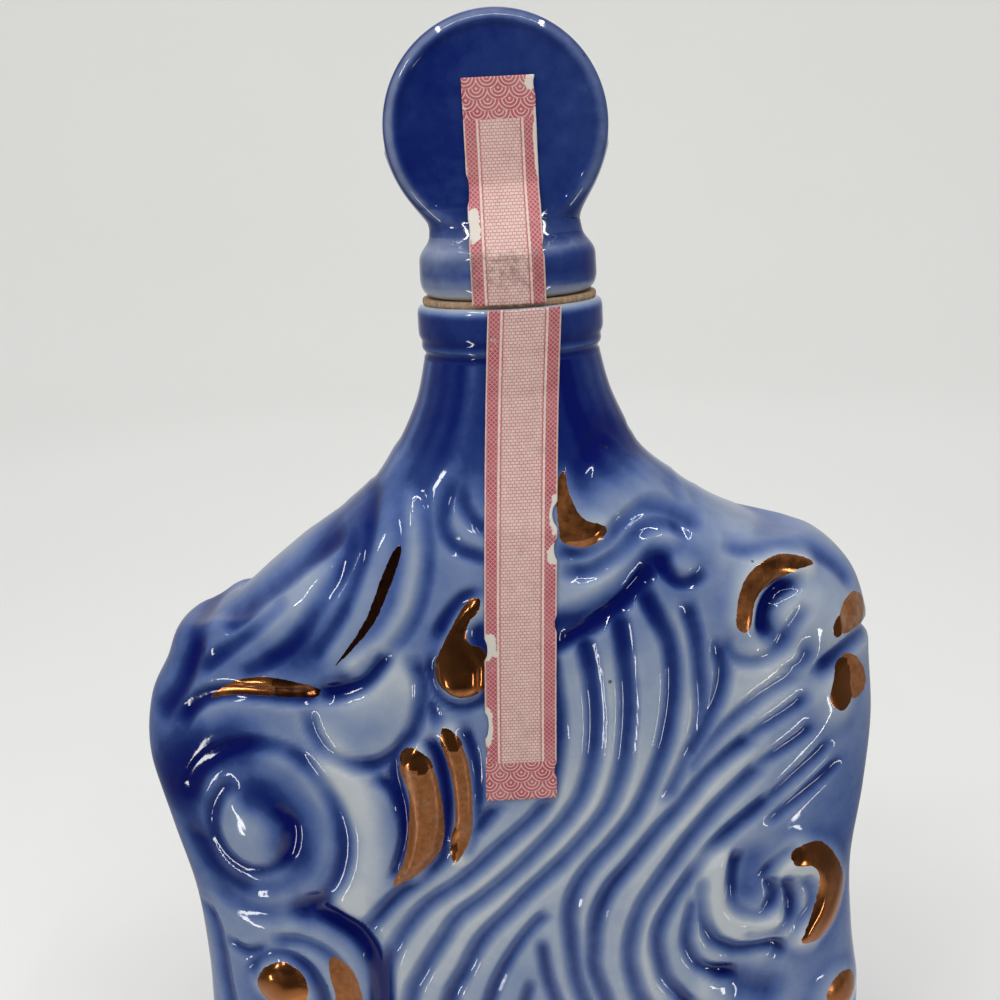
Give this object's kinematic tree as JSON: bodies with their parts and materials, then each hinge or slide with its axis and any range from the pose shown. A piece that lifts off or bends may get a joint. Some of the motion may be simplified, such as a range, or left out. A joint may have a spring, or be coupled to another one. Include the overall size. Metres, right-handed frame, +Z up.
{
  "type": "figural liquor decanter",
  "caption": "Flask-shaped glazed ceramic decanter with wave and swirl relief, a disc-headed cork stopper, a sealing washer and a torn paper seal strip.",
  "frame": {"origin": "on the neck's axis, at the flat base", "axes": "+Z up along the neck's axis, -Y towards the front that carries the paper strip, +X to the right of that front"},
  "size_m": [0.1699, 0.0629, 0.26],
  "materials": {
    "blue_glaze": "glossy blue glaze pooled in the hollows, with copper-gold lustre accents",
    "stopper_glaze": "glossy cobalt glaze, thin and pale at the edges",
    "cork": "natural cork",
    "washer_board": "tan fibre board, darkened at the edge",
    "seal_paper": "thin printed paper, aged and torn"
  },
  "bodies": {
    "bottle": {"decanter_body": "blue_glaze", "body_strip": "seal_paper"},
    "washer": {"seal_washer": "washer_board"},
    "stopper": {"stopper_head": "stopper_glaze", "cork_plug": "cork", "stopper_strip": "seal_paper"}
  },
  "joints": [
    {"name": "stopper_twist", "type": "hinge", "parent": "bottle", "child": "washer", "pos_m": [0, 0, 0.199], "axis": [0, 0, 1], "continuous": true},
    {"name": "stopper_lift", "type": "slide", "parent": "washer", "child": "stopper", "axis": [0, 0, 1], "range_m": [0, 0.045]}
  ]
}
